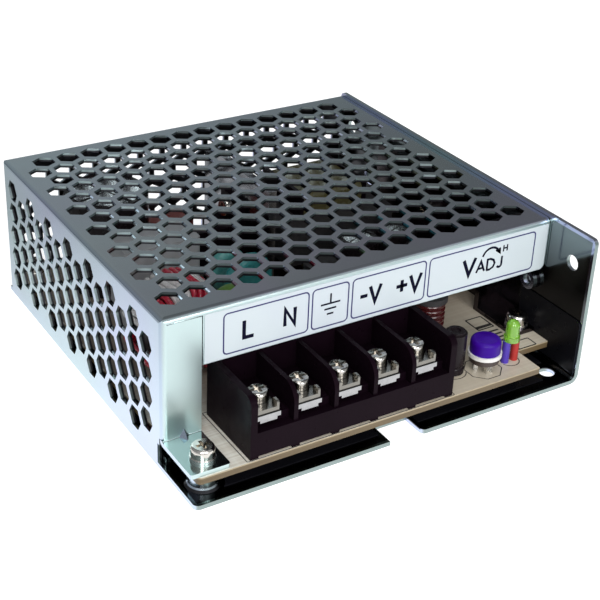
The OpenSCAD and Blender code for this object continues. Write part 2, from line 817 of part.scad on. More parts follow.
module fuse_clips() {
    color("silver") in_case() on_board(fuse_at)
        for (s = [-1, 1]) translate([s * (fuse_l / 2 - 2.8), 0, 0]) difference() {
            union() {
                translate([0, 0, 5]) rod_x(fuse_d + 1, 5);
                translate([-2.5, -2.4, 0]) cube([5, 4.8, 4]);
            }
            translate([0, 0, 5]) rod_x(fuse_d + 0.1, 6);
            translate([-3, -1.9, -1]) cube([6, 3.8, 2.4]);
            translate([-3, -1.8, 6]) cube([6, 3.6, 4]);
        }
}

module inrush_thermistor() {
    color("yellowgreen") in_case() on_board(thermistor_at) disc(thermistor_d, disc_t, 8);
}

module surge_varistor() { color("darkcyan") in_case() on_board(varistor_at) disc(varistor_d, disc_t, 5); }

module safety_capacitors() {
    color("mediumturquoise") in_case() {
        on_board(safety_at[0]) disc(safety_d - 1, disc_t - 0.4, 90);
        on_board(safety_at[1]) disc(safety_d, disc_t - 0.4, 8);
    }
}

module line_capacitor() {
    color("gray") in_case() on_board(line_cap_at) block(line_cap, 0.8);
}

// Ring core standing on edge
module line_choke_core() {
    z = ring_d / 2 + winding_t + 0.6;
    color("#3a3a3c") in_case() on_board(ring_at) translate([0, 0, z]) rotate([90, 0, 0]) difference() {
        cylinder(d = ring_d, h = ring_t, center = true);
        cylinder(d = ring_d * 0.55, h = ring_t + 2, center = true);
    }
}

// Two windings, one on each side of the ring
module line_choke_winding() {
    z = ring_d / 2 + winding_t + 0.6;
    r1 = ring_d / 2 + wrap_gap;
    r0 = ring_d * 0.275 - wrap_gap;
    w = ring_t + 2 * wrap_gap;
    sweep = 130;
    color("firebrick") in_case() on_board(ring_at) {
        for (a = [0, 180]) translate([0, 0, z]) rotate([90, 0, 0]) rotate(a - sweep / 2)
            rotate_extrude(angle = sweep) difference() {
                translate([r0 - winding_t, -w / 2 - winding_t])
                    square([r1 - r0 + 2 * winding_t, w + 2 * winding_t]);
                translate([r0, -w / 2]) square([r1 - r0, w]);
            }
        for (s = [-1, 1]) translate([s * 5, 0, 0]) cylinder(d = 1.2, h = 3);
    }
}

module bridge_rectifier() {
    color("#222222") in_case() on_board(bridge_at) {
        translate([0, 0, 3]) block(bridge, 0.6);
        for (i = [0:3]) translate([(i - 1.5) * bridge[0] / 4, 0, 0]) cylinder(d = 1, h = 3.5, $fn = 16);
    }
}

module bulk_capacitor() { color("#1c1c20") in_case() on_board(bulk_at) can(bulk_d, bulk_h); }

module primary_heatsink() {
    color("silver") in_case() translate([primary_sink_at[0], primary_sink_at[1], board_top]) {
        difference() {
            cube([sink_t, primary_sink_l, sink_h]);
            translate([sink_t / 2, transistor_y, tab_hole_z]) rod_x(screw_d + 2 * thread_gap, sink_t + 2);
        }
        for (y = [4, primary_sink_l - 7]) translate([-3, y, 0]) cube([3.1, 3, 1]);
    }
}

// Package with a metal tab, lying against a plate; its back faces -X
module tab_package() {
    difference() {
        union() {
            translate([0, -5, 4]) cube([4.4, 10, 9]);
            translate([0, -5, 12.5]) cube([tab_t, 10, 6.5]);
        }
        translate([0, 0, tab_hole_z]) rod_x(screw_d + 0.6, 16);
    }
    for (i = [-1:1]) translate([2.4, i * 2.54, 0]) cylinder(d = 0.9, h = 4.5, $fn = 16);
}

module switching_transistor() {
    color("#26262a") in_case()
        translate([primary_sink_at[0], primary_sink_at[1] + transistor_y, board_top])
            mirror([1, 0, 0]) tab_package();
}

// Flat double-E core: two outer legs and a centre leg between two yokes
module transformer_core() {
    color("#2b2b2d") in_case() on_board(core_at) translate([0, 0, core_lift]) difference() {
        block([core_l, core_w, core_t], 0.5);
        for (s = [-1, 1])
            translate([0, s * (core_leg_w / 2 + window_w / 2), -1])
                block([core_l - 2 * yoke_t, window_w, core_t + 2], 0.3);
    }
}

// Tube round the centre leg, with an end cheek and a pin rail at each end
module transformer_bobbin() {
    half = core_l / 2 - yoke_t - core_gap;
    leg_w = core_leg_w + 2 * core_gap;
    cheek_w = core_leg_w + 2 * window_w - 2 * core_gap;
    color("#1a1a1a") in_case() on_board(core_at) difference() {
        union() {
            translate([-half, -leg_w / 2 - tube_t, core_lift - core_gap - tube_t])
                cube([2 * half, leg_w + 2 * tube_t, core_t + 2 * core_gap + 2 * tube_t]);
            for (s = [-1, 1]) {
                translate([s * (half - 0.5) - 0.5, -cheek_w / 2, 0]) cube([1, cheek_w, cheek_h]);
                translate([s * (core_l / 2 - 2) - 2, -cheek_w / 2, 0])
                    cube([4, cheek_w, core_lift - 1.5]);
                translate([s > 0 ? half - 1 : -core_l / 2, -cheek_w / 2, 0])
                    cube([core_l / 2 - half + 1, cheek_w, 2.4]);
            }
        }
        translate([-core_l, -leg_w / 2, core_lift - core_gap])
            cube([2 * core_l, leg_w, core_t + 2 * core_gap]);
    }
}

// Windings under yellow tape
module transformer_winding() {
    l = 2 * (core_l / 2 - yoke_t - core_gap - 1) - 0.2;
    tube_w = core_leg_w + 2 * core_gap + 2 * tube_t;
    w = core_leg_w + 2 * window_w - 2 * core_gap - 0.6;
    tube_z = core_lift - core_gap - tube_t;
    color("goldenrod") in_case() on_board(core_at) along_x(-l / 2, l / 2) difference() {
        translate([-w / 2, 1]) round_rect([w, cheek_h - 1.6], 1.5);
        translate([-tube_w / 2, tube_z]) square([tube_w, core_t + 2 * core_gap + 2 * tube_t]);
    }
}

// Angle plate against the side wall, with a foot under the front screw
module output_heatsink() {
    x1 = case_w - sheet_t - cover_gap;
    l = case_d - side_boss_y - 3.9 - output_sink_y;
    foot_w = 6.4;
    foot_l = output_sink_y - boss_at[1][1];
    edge = [0.7, foot_l - 3, 3.3];
    color("silver") in_case() difference() {
        union() {
            translate([x1 - sink_t, output_sink_y, board_top]) cube([sink_t, l, sink_h - 2]);
            translate([x1 - foot_w, output_sink_y, board_top]) cube([foot_w, 1.5, sink_h - 2]);
            translate([x1 - foot_w, boss_at[1][1] - 3.2, board_top]) cube([foot_w, foot_l + 3.2 + eps, sheet_t]);
            // Low edge turned up along the wall, behind the screw
            translate([x1 - edge[0], output_sink_y - edge[1], board_top]) cube([edge[0], edge[1] + eps, edge[2]]);
        }
        translate([boss_at[1][0], boss_at[1][1], 0]) cylinder(d = screw_d + 0.4, h = wall_h);
        translate([x1 - sink_t / 2, output_sink_y + rectifier_y, board_top + tab_hole_z])
            rod_x(screw_d + 2 * thread_gap, sink_t + 2);
    }
}

module output_rectifier() {
    x1 = case_w - sheet_t - cover_gap - sink_t;
    color("#26262a") in_case() translate([x1, output_sink_y + rectifier_y, board_top])
        mirror([1, 0, 0]) tab_package();
}

// One screw through each package's tab into its plate
module rectifier_screws() {
    places = [
        [case_w - sheet_t - cover_gap - sink_t, output_sink_y + rectifier_y],
        [primary_sink_at[0], primary_sink_at[1] + transistor_y]
    ];
    color("gainsboro") in_case()
        for (at = places) translate([at[0], at[1], board_top + tab_hole_z]) {
            translate([-tab_t, 0, 0]) rotate([0, -90, 0]) difference() {
                pan_head(screw_head_d, screw_head_h);
                cross_recess(screw_head_d, screw_head_h);
            }
            translate([-tab_t, 0, 0]) rotate([0, 90, 0]) cylinder(d = screw_d, h = tab_t + sink_t);
        }
}

module output_capacitors() {
    color("#1f2430") in_case() for (at = output_cans_at) on_board(at) can(output_can_d, output_can_h);
}

// Drum core standing on the board
module drum_core() {
    cylinder(d = drum_d, h = drum_rim);
    cylinder(d = drum_neck_d, h = drum_h);
    translate([0, 0, drum_h - drum_rim]) cylinder(d = drum_d, h = drum_rim);
}

// Wire laid in turns round a drum
module drum_winding() {
    turns = 8;
    turn_d = (drum_h - 2 * drum_rim - 0.1) / turns;
    inner_r = drum_neck_d / 2 + 0.02;
    outer_r = drum_d / 2 - 1;
    translate([0, 0, drum_rim]) rotate_extrude() {
        translate([inner_r, 0]) square([outer_r - inner_r, turns * turn_d]);
        for (i = [0:turns - 1]) translate([outer_r, (i + 0.5) * turn_d]) circle(d = turn_d, $fn = 24);
    }
}

module output_choke_core() { color("#2b2b2d") in_case() on_board(drum_at) drum_core(); }

module output_choke_winding() { color("firebrick") in_case() on_board(drum_at) drum_winding(); }

module filter_choke_core() { color("#2b2b2d") in_case() on_board(filter_drum_at) drum_core(); }

module filter_choke_winding() { color("firebrick") in_case() on_board(filter_drum_at) drum_winding(); }

module control_capacitor() {
    color("#17171a") in_case() on_board(control_can_at) can(control_can_d, control_can_h);
}

// Small dual-in-line package
module dil(pins, w) {
    l = pins * 2.54 / 2;
    translate([-l / 2, -w / 2 + 0.8, 1]) cube([l, w - 1.6, 3.2]);
    for (i = [0:pins / 2 - 1], s = [-1, 1])
        translate([(i + 0.5) * 2.54 - l / 2 - 0.3, s * (w / 2 - 0.7) - 0.2, 0]) cube([0.6, 0.4, 2.6]);
}

module optocoupler() { color("white") in_case() on_board(opto_at) dil(4, 7.6); }

module control_chip() { color("#26262a") in_case() on_board(chip_at) dil(8, 7.6); }

module resistors() {
    color("tan") in_case() for (at = resistors_at) on_board(at) {
        translate([0, 0, 1.8]) rod_x(resistor_d, resistor_l);
        for (s = [-1, 1]) {
            translate([s * (resistor_l / 2 + 0.85), 0, 1.8]) rod_x(lead_d, 2);
            translate([s * (resistor_l / 2 + 1.85), 0, 0]) cylinder(d = lead_d, h = 2.1, $fn = 16);
        }
    }
}

module snubber_capacitor() { color("darkred") in_case() on_board(snubber_at) block(snubber, 1); }

chassis();
mesh_cover();
front_label();
insulating_film();
circuit_board();
board_screws();
board_washers();
terminal_housing();
terminal_plates();
clamp_washer(0);  // clamp_washer_1
clamp_washer(1);  // clamp_washer_2
clamp_washer(2);  // clamp_washer_3
clamp_washer(3);  // clamp_washer_4
clamp_washer(4);  // clamp_washer_5
terminal_screw(0);  // terminal_screw_1
terminal_screw(1);  // terminal_screw_2
terminal_screw(2);  // terminal_screw_3
terminal_screw(3);  // terminal_screw_4
terminal_screw(4);  // terminal_screw_5
trimmer_base();
trimmer_legs();
trimmer_rotor();
trimmer_knob();
power_lamp();
lamp_sleeve_blue();
lamp_sleeve_red();
fuse_tube();
fuse_clips();
inrush_thermistor();
surge_varistor();
safety_capacitors();
line_capacitor();
line_choke_core();
line_choke_winding();
bridge_rectifier();
bulk_capacitor();
primary_heatsink();
switching_transistor();
transformer_core();
transformer_bobbin();
transformer_winding();
output_heatsink();
output_rectifier();
rectifier_screws();
output_capacitors();
output_choke_core();
output_choke_winding();
filter_choke_core();
filter_choke_winding();
control_capacitor();
optocoupler();
control_chip();
resistors();
snubber_capacitor();
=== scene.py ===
import math

import bpy
from mathutils import Matrix, Vector


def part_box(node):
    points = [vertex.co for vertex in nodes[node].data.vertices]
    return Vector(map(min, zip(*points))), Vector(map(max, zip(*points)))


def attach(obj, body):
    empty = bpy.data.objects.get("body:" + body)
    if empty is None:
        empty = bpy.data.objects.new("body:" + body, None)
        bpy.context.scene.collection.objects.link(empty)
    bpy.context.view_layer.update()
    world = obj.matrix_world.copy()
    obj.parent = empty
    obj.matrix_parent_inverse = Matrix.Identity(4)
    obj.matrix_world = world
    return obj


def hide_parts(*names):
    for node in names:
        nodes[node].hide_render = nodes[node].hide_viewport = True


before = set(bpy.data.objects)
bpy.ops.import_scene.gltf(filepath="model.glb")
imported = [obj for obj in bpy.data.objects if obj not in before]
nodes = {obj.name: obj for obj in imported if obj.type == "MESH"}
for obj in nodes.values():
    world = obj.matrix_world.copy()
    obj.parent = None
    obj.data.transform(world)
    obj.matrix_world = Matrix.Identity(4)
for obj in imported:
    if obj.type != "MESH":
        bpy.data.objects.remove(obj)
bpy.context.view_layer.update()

MM = 0.001
ORIGIN = Vector(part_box("chassis")[0]) / MM  # the case's front left bottom corner, in mm


def at(x, y, z):
    """Metres in the row frame, from mm measured from the case's front left bottom corner."""
    return (Vector((x, y, z)) + ORIGIN) * MM


def mm_box(node):
    """A node's lowest and highest corners, in mm from the case's corner."""
    low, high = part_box(node)
    return Vector(low) / MM - ORIGIN, Vector(high) / MM - ORIGIN


def middle(*names):
    """The centre in plan of one node or several, in mm from the case's corner, to a hundredth."""
    corners = [corner for name in names for corner in mm_box(name)]
    return tuple(round(sum(corner[i] for corner in corners) / len(corners), 2) for i in (0, 1))


# ---- node helpers ----

class Nodes:
    """Short calls that add nodes to one tree."""

    def __init__(self, tree):
        self.tree = tree

    def feed(self, socket, value):
        """Links another socket to this one, or sets it to a constant."""
        if isinstance(value, bpy.types.NodeSocket):
            self.tree.links.new(value, socket)
        else:
            socket.default_value = value

    def node(self, kind, **inputs):
        """A new node; an input's name has _ for each space."""
        made = self.tree.nodes.new(kind)
        for key, value in inputs.items():
            self.feed(made.inputs[key.replace("_", " ")], value)
        return made

    def step(self, kind, operation, a, b):
        """A node that works on two values and gives a number."""
        made = self.tree.nodes.new(kind)
        made.operation = operation
        self.feed(made.inputs[0], a)
        self.feed(made.inputs[1], b)
        return made.outputs["Value"]

    def calc(self, operation, a, b):
        """One step of arithmetic on two numbers."""
        return self.step("ShaderNodeMath", operation, a, b)

    def span(self, value, low, high, from_low=0.3, from_high=0.7, smooth=False):
        """Low to high while value goes from one limit to the other; the default limits suit a noise."""
        made = self.node("ShaderNodeMapRange", Value=value, From_Min=from_low, From_Max=from_high,
                         To_Min=low, To_Max=high)
        if smooth:
            made.interpolation_type = "SMOOTHSTEP"
        return made.outputs["Result"]


class Shader(Nodes):
    """A material with a Principled shader, and short calls for what feeds it."""

    def __init__(self, name, color=(0.5, 0.5, 0.5), rough=0.5, metal=0.0, **sockets):
        self.mat = bpy.data.materials.new(name)
        self.mat.use_nodes = True
        self.mat.diffuse_color = (*color, 1.0)
        super().__init__(self.mat.node_tree)
        self.bsdf = self.tree.nodes["Principled BSDF"]
        self.set("Base Color", (*color, 1.0))
        self.set("Roughness", rough)
        self.set("Metallic", metal)
        for key, value in sockets.items():
            self.set(key.replace("_", " "), value)

    def set(self, socket, value):
        self.feed(self.bsdf.inputs[socket], value)

    def coords(self, stretch=(1, 1, 1), turn=(0, 0, 0)):
        """The place on the object, in metres, scaled by stretch and turned by radians."""
        source = self.node("ShaderNodeTexCoord")
        mapping = self.node("ShaderNodeMapping", Vector=source.outputs["Object"],
                            Scale=stretch, Rotation=turn)
        return mapping.outputs["Vector"]

    def noise(self, scale, detail=3.0, rough=0.55, **mapping):
        """Soft noise; scale is its number of blobs to a metre, mapping is as in coords."""
        made = self.node("ShaderNodeTexNoise", Vector=self.coords(**mapping), Scale=scale,
                         Detail=detail, Roughness=rough)
        return made.outputs["Fac"]

    def cells(self, scale):
        """Grains, dark in the middle; scale is their number to a metre."""
        return self.node("ShaderNodeTexVoronoi", Vector=self.coords(), Scale=scale).outputs["Distance"]

    def layers(self, scale, distortion, detail=0.0):
        """Level bands, as of wound tape or wire."""
        made = self.node("ShaderNodeTexWave", Vector=self.coords(), Scale=scale,
                         Distortion=distortion, Detail=detail)
        made.bands_direction = "Z"
        return made.outputs["Fac"]

    def ramp(self, value, *stops):
        """A colour from (position, colour) stops."""
        made = self.node("ShaderNodeValToRGB", Fac=value)
        elements = made.color_ramp.elements
        while len(elements) < len(stops):
            elements.new(0.5)
        for element, (position, color) in zip(elements, stops):
            element.position = position
            element.color = (*color, 1.0)
        return made.outputs["Color"]

    def mix(self, share, a, b):
        """Colour a where share is 0, colour b where it is 1."""
        made = self.tree.nodes.new("ShaderNodeMix")
        made.data_type = "RGBA"
        self.feed(made.inputs["Factor"], share)
        for socket, color in ((made.inputs[6], a), (made.inputs[7], b)):
            self.feed(socket, (*color, 1.0) if isinstance(color, tuple) else color)
        return made.outputs[2]

    def depth(self, place, low, high):
        """How far a place lies inside a box, in mm, from the nearest of its six sides."""
        sides = [self.calc("SUBTRACT", place[i], low[i]) for i in range(3)]
        sides += [self.calc("SUBTRACT", high[i], place[i]) for i in range(3)]
        least = sides[0]
        for side in sides[1:]:
            least = self.calc("MINIMUM", least, side)
        return self.calc("DIVIDE", least, MM)

    def facing(self):
        """The surface's normal and its place in the frame, each as (x, y, z) sockets."""
        geometry = self.node("ShaderNodeNewGeometry")
        return [tuple(self.node("ShaderNodeSeparateXYZ", Vector=geometry.outputs[key]).outputs)
                for key in ("Normal", "Position")]

    def mottle(self, grain, strength, color, share):
        """Sets the base colour, which a high grain darkens, by strength, towards share of its brightness."""
        patches = self.span(grain, 0.0, strength)
        self.set("Base Color", self.mix(patches, color, tuple(c * share for c in color)))

    def wear(self, grain, low, high):
        """Sets the roughness, uneven from low to high."""
        self.set("Roughness", self.span(grain, low, high))

    def bump(self, height, strength, distance):
        """Sets the bumps, distance being in metres, and gives the finished material."""
        made = self.node("ShaderNodeBump", Height=height, Strength=strength, Distance=distance)
        self.set("Normal", made.outputs["Normal"])
        return self.mat


# ---- materials ----

# Bright zinc plating: its hues are (place in a broad noise, colour), its ranges are in metres.
ZINC_HUES = ((0.34, (0.52, 0.60, 0.59)), (0.46, (0.49, 0.56, 0.61)),
             (0.58, (0.54, 0.55, 0.65)), (0.70, (0.51, 0.58, 0.60)))
# painted reflection: the lilac tint that faces facing left get in place of the hues
ZINC_LILAC_REFLECTIONS = ((0.34, (0.46, 0.60, 0.65)), (0.60, (0.51, 0.55, 0.78)))
ZINC_BACK = (0.47, 0.60, 0.65)
ZINC_WORN = (0.42, 0.46, 0.50)
# painted dark reflection on low faces that face up
ZINC_FOOT_REFLECTION = (0.34, 0.43, 0.42)
ZINC_ROUGH = (0.10, 0.19)
BACK_RANGE = (-0.025, 0.045)  # y where the back's tint begins and is full
FOOT_REFLECTION_RANGE = (0.010, 0.012)  # height where the painted dark reflection on upward faces is full and ends
SHADE_HEIGHTS = (0.021, 0.034)  # height of the low and of the high painted shade colour inside the case
SHEET_DEPTH = 1.5  # mm; what lies deeper in the case, such as a boss, doesn't get the painted shade


def zinc(name, low, high, skin, front, front_rough, shade_colours):
    """Bright zinc plating with a rolled grain.

    Its left faces have a painted lilac reflection, and its front faces have the colour front: a painted
    shade on the chassis and a painted reflection on the cover. Where it lies skin mm or more inside the box
    from low to high, it has painted shade colours, for low and for high places. Low faces that face up get a
    painted dark reflection.
    """
    s = Shader(name, metal=1.0)
    (nx, ny, nz), place = s.facing()
    broad = s.noise(14, 2.0, 0.5, turn=(0.3, 0.2, 0.5))
    hue = s.mix(s.span(place[1], 0.0, 0.75, *BACK_RANGE), s.ramp(broad, *ZINC_HUES), ZINC_BACK)
    # painted lilac reflection on faces that face left
    hue = s.mix(s.span(nx, 1.0, 0.0, -0.8, -0.4), hue, s.ramp(broad, *ZINC_LILAC_REFLECTIONS))
    at_front = s.span(ny, 1.0, 0.0, -0.9, -0.6)
    # painted light on faces that face front: the colour front
    hue = s.mix(at_front, hue, front)
    hue = s.mix(s.span(s.noise(150, 4.0, 0.6), 0.0, 0.16), hue, ZINC_WORN)
    depth = s.depth(place, low, high)
    in_sheet = s.calc("LESS_THAN", depth, SHEET_DEPTH)
    # painted shade on the inner faces, skin mm or more inside the box
    inner = s.calc("MULTIPLY", s.span(depth, 0.0, 1.0, skin - 0.15, skin), in_sheet)
    # painted dark reflection on low faces that face up
    foot_reflection = s.calc("MULTIPLY", s.calc("GREATER_THAN", nz, 0.7), s.span(place[2], 1.0, 0.0, *FOOT_REFLECTION_RANGE))
    hue = s.mix(foot_reflection, hue, ZINC_FOOT_REFLECTION)
    s.set("Base Color", s.mix(inner, hue, s.mix(s.span(place[2], 0.0, 1.0, *SHADE_HEIGHTS), *shade_colours)))
    even = s.span(s.noise(110, 3.0, 0.6), *ZINC_ROUGH)
    s.set("Roughness", s.calc("MAXIMUM", even, s.calc("MULTIPLY", at_front, front_rough)))
    return s.bump(s.noise(2600, 2.0, 0.5, stretch=(1, 0.06, 1)), 0.08, 0.00003)


def metal(name, color, rough, vary):
    """Plated or rolled metal; vary is how uneven it is, from 0 to 1."""
    s = Shader(name, metal=1.0)
    s.mottle(s.noise(700, 4.0), vary, color, 0.78)
    s.wear(s.noise(1500, 3.0), rough, rough + 0.18 * vary)
    return s.bump(s.noise(3500, 2.0), 0.2 * vary, 0.00004)


def plastic(name, color, rough, vary=0.25, **sockets):
    """Moulded plastic, ink or paint with a fine grain."""
    s = Shader(name, **sockets)
    s.mottle(s.noise(120, 5.0, 0.6), 1.0, color, 1 - vary)
    s.wear(s.noise(420, 4.0), rough - 0.06, rough + 0.10)
    return s.bump(s.noise(2600, 3.0), 0.25, 0.00004)


def label_film():
    """Pale film under a thin clear coat."""
    s = Shader("label_film", Coat_Weight=0.25, Coat_Roughness=0.18)
    s.set("Base Color", s.ramp(s.noise(22, 3.0), (0.3, (0.54, 0.59, 0.65)), (0.7, (0.57, 0.64, 0.66))))
    s.wear(s.noise(300, 3.0), 0.30, 0.42)
    return s.bump(s.noise(1400, 2.0), 0.08, 0.00003)


BOARD_LIGHT_FALLOFF = ((0.0, (0.82, 0.82, 0.77)), (0.25, (0.66, 0.62, 0.53)),
               (0.8, (0.54, 0.48, 0.38)), (1.0, (0.58, 0.53, 0.43)))  # painted light: brightest at the left end, falling off to the right
BOARD_THREADS = (0.47, 0.40, 0.31)
# painted shade towards the back of the board
BOARD_BACK_SHADE = (0.14, 0.09, 0.06)
BOARD_EDGES = ((0.14, 0.10, 0.05), (0.11, 0.075, 0.035))
BOARD_RIM = (0.40, 0.33, 0.22)
BOARD_UNDERSIDE = (0.04, 0.035, 0.02)


def laminate():
    """Paper laminate: grey-beige face with fine threads, painted light that is brightest at the left end,
    painted shade towards the back, and a brown cut edge.
    """
    s = Shader("laminate")
    warp = s.noise(1500, 2.0, 0.5, stretch=(1, 0.05, 1))
    weft = s.noise(1900, 2.0, 0.5, stretch=(0.02, 1, 1))
    weave = s.mix(0.72, warp, weft)
    (_, _, up), (x, y, z) = s.facing()
    across = s.calc("ADD", x, s.calc("MULTIPLY", s.noise(35, 4.0), 0.01))
    # painted light across the board, brightest at the left end
    lit_tone = s.ramp(s.span(across, 0.0, 1.0, -0.045, 0.045), *BOARD_LIGHT_FALLOFF)
    face = s.mix(s.span(weave, 0.0, 0.5, 0.4, 0.6), lit_tone, BOARD_THREADS)
    # painted shade towards the back
    face = s.mix(s.span(y, 0.0, 0.8, -0.028, -0.006), face, BOARD_BACK_SHADE)
    edge = s.mix(s.span(s.noise(60, 2.0, stretch=(1, 1, 30)), 0.0, 1.0), *BOARD_EDGES)
    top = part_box("circuit_board")[1][2]
    edge = s.mix(s.span(z, 0.0, 1.0, top - 0.4 * MM, top - 0.2 * MM), edge, BOARD_RIM)
    side = s.mix(s.span(up, 0.0, 1.0, -0.7, -0.3), BOARD_UNDERSIDE, edge)
    s.set("Base Color", s.mix(s.span(up, 0.0, 1.0, 0.3, 0.7), side, face))
    s.wear(s.noise(500, 3.0), 0.30, 0.42)
    return s.bump(weave, 0.12, 0.00004)


def dipped(name, color):
    """Dipped epoxy coat: glossy with slow runs."""
    s = Shader(name, Coat_Weight=0.4, Coat_Roughness=0.1)
    s.mottle(s.noise(160, 4.0), 1.0, color, 0.68)
    s.wear(s.noise(330, 3.0), 0.22, 0.36)
    return s.bump(s.noise(260, 3.0), 0.3, 0.0002)


def ferrite():
    """Sintered dark grey grain."""
    s = Shader("ferrite")
    s.set("Base Color", s.ramp(s.cells(2400), (0.0, (0.012, 0.012, 0.013)), (0.6, (0.03, 0.028, 0.03))))
    s.wear(s.noise(600, 4.0), 0.5, 0.66)
    return s.bump(s.noise(1800, 4.0), 0.4, 0.00008)


def tape():
    """Layers of yellow polyester tape, in the shade."""
    s = Shader("polyester_tape", Coat_Weight=0.5, Coat_Roughness=0.12)
    bands = s.span(s.layers(260, 0.5, 1.0), 0.0, 0.35)
    s.set("Base Color", s.mix(bands, (0.10, 0.09, 0.035), (0.06, 0.05, 0.02)))
    s.wear(s.noise(300, 3.0), 0.2, 0.34)
    return s.bump(s.noise(210, 3.0, stretch=(1, 1, 4)), 0.4, 0.00015)


def enamel(name, color):
    """Lacquered copper wire."""
    s = Shader(name, Coat_Weight=0.6, Coat_Roughness=0.08)
    s.mottle(s.noise(900, 3.0), 0.7, color, 0.6)
    s.wear(s.noise(1200, 2.0), 0.2, 0.32)
    return s.bump(s.layers(500, 0.4), 0.2, 0.00006)


def lens(name, color):
    """Tinted clear plastic or glass."""
    s = Shader(name, Transmission_Weight=0.6, IOR=1.5, Coat_Weight=0.8, Coat_Roughness=0.03)
    s.mottle(s.noise(500, 2.0), 0.6, color, 0.8)
    s.wear(s.noise(800, 2.0), 0.12, 0.22)
    return s.mat


LABEL_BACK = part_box("front_label")[1][1]  # y of the flange under the label
CHASSIS_LOW, CHASSIS_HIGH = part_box("chassis")
COVER_LOW, COVER_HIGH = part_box("mesh_cover")
BELOW = at(0, 0, -50).z  # far enough down to keep the cover's lower edges out of the painted shade
# painted shade colour for the cover's inner faces
INNER_SHADE = (0.06, 0.06, 0.068)

# the chassis: a painted shade on its front faces, and painted shade inside, dark low and paler high
CHASSIS_ZINC = zinc("chassis_plating", (*CHASSIS_LOW[:2], 0.0), CHASSIS_HIGH, 0.85,
                    (0.24, 0.30, 0.29), 0.30, ((0.045, 0.045, 0.05), (0.20, 0.24, 0.25)))
# the cover: a painted reflection on its front faces, and painted shade inside, behind the label's flange
COVER_ZINC = zinc("cover_plating", (COVER_LOW[0], LABEL_BACK, BELOW), COVER_HIGH, 0.60,
                  (0.54, 0.67, 0.67), 0.36, (INNER_SHADE, INNER_SHADE))
NICKEL = metal("bright_nickel", (0.62, 0.60, 0.56), 0.07, 0.5)
# nickel darkened as painted shade, for the clamp washers' dark reflections
CLAMP_SHADE = metal("clamp_nickel_shaded", (0.24, 0.23, 0.21), 0.10, 0.6)
SCREW = metal("screw_nickel", (0.50, 0.48, 0.45), 0.05, 0.7)
TIN = metal("tinned", (0.74, 0.74, 0.73), 0.22, 0.5)
ALU = metal("rolled_aluminium", (0.34, 0.35, 0.38), 0.14, 0.15)
# near-black plate as painted shade for the dark right-hand part of the inside
SHADE_PLATE = metal("plate_painted_shade", (0.07, 0.06, 0.065), 0.16, 0.05)
CAN_TOP = metal("can_top", (0.74, 0.75, 0.77), 0.24, 0.3)
BLACK = plastic("black_moulding", (0.006, 0.0025, 0.005), 0.32, 0.3, Specular_IOR_Level=0.05,
                Specular_Tint=(1.0, 0.70, 0.90, 1.0))
FILM = plastic("black_film", (0.006, 0.006, 0.008), 0.3, Specular_IOR_Level=0.12)
INK = plastic("ink", (0.004, 0.004, 0.016), 0.5, 0.15, Specular_IOR_Level=0.05)
FRAME_INK = plastic("frame_ink", (0.012, 0.010, 0.11), 0.5, 0.15)
SILK = plastic("silkscreen", (0.02, 0.018, 0.018), 0.6, 0.2)
CAN_SLEEVE = plastic("can_sleeve", (0.014, 0.010, 0.012), 0.26, Specular_IOR_Level=0.15)
FERRITE = ferrite()
WINDING_RED = enamel("winding_red", (0.055, 0.004, 0.005))
# painted highlight: white wire standing for the shine on the red turns
WINDING_HIGHLIGHT = enamel("winding_painted_highlight", (0.95, 0.92, 0.92))
CHOKE_RED = enamel("choke_red", (0.62, 0.015, 0.05))

LOOKS = {
    "chassis": CHASSIS_ZINC,
    "mesh_cover": COVER_ZINC,
    "front_label": label_film(),
    "insulating_film": FILM,
    "circuit_board": laminate(),
    "board_screws": NICKEL,
    "board_washers": TIN,
    "terminal_housing": BLACK,
    # nickel darkened as painted shade between the clamps
    "terminal_plates": metal("plate_nickel_shaded", (0.40, 0.40, 0.41), 0.12, 0.7),
    "trimmer_base": plastic("dark_moulding", (0.05, 0.035, 0.03), 0.4),
    "trimmer_legs": TIN,
    "trimmer_rotor": plastic("white_moulding", (0.78, 0.77, 0.74), 0.4, 0.08),
    "trimmer_knob": plastic("knob_blue", (0.036, 0.002, 0.25), 0.34, 0.12, Specular_IOR_Level=0.16),
    "power_lamp": lens("lamp_green", (0.36, 0.78, 0.07)),
    "lamp_sleeve_blue": plastic("sleeve_blue", (0.07, 0.035, 0.38), 0.4),
    "lamp_sleeve_red": plastic("sleeve_red", (0.42, 0.025, 0.02), 0.4),
    "fuse_tube": lens("fuse_glass", (0.86, 0.92, 0.92)),
    "fuse_clips": TIN,
    "inrush_thermistor": dipped("coat_green", (0.16, 0.34, 0.06)),
    "surge_varistor": dipped("coat_teal", (0.05, 0.33, 0.34)),
    "safety_capacitors": dipped("coat_turquoise", (0.14, 0.50, 0.48)),
    "line_capacitor": plastic("grey_case", (0.42, 0.43, 0.45), 0.35, 0.12),
    "line_choke_core": FERRITE,
    "line_choke_winding": WINDING_RED,
    "bridge_rectifier": BLACK,
    "bulk_capacitor": CAN_SLEEVE,
    "primary_heatsink": ALU,
    "switching_transistor": BLACK,
    "transformer_core": FERRITE,
    "transformer_bobbin": BLACK,
    "transformer_winding": tape(),
    # painted shade: the output heatsink made near black
    "output_heatsink": SHADE_PLATE,
    "output_rectifier": BLACK,
    "rectifier_screws": NICKEL,
    "output_capacitors": CAN_SLEEVE,
    "output_choke_core": FERRITE,
    "output_choke_winding": WINDING_RED,
    "filter_choke_core": FERRITE,
    "filter_choke_winding": WINDING_RED,
    "control_capacitor": CAN_SLEEVE,
    "optocoupler": plastic("ivory_package", (0.72, 0.70, 0.62), 0.4, 0.1),
    "control_chip": BLACK,
    "resistors": dipped("lacquer_tan", (0.60, 0.42, 0.24)),
    "snubber_capacitor": dipped("coat_maroon", (0.22, 0.03, 0.02)),
}
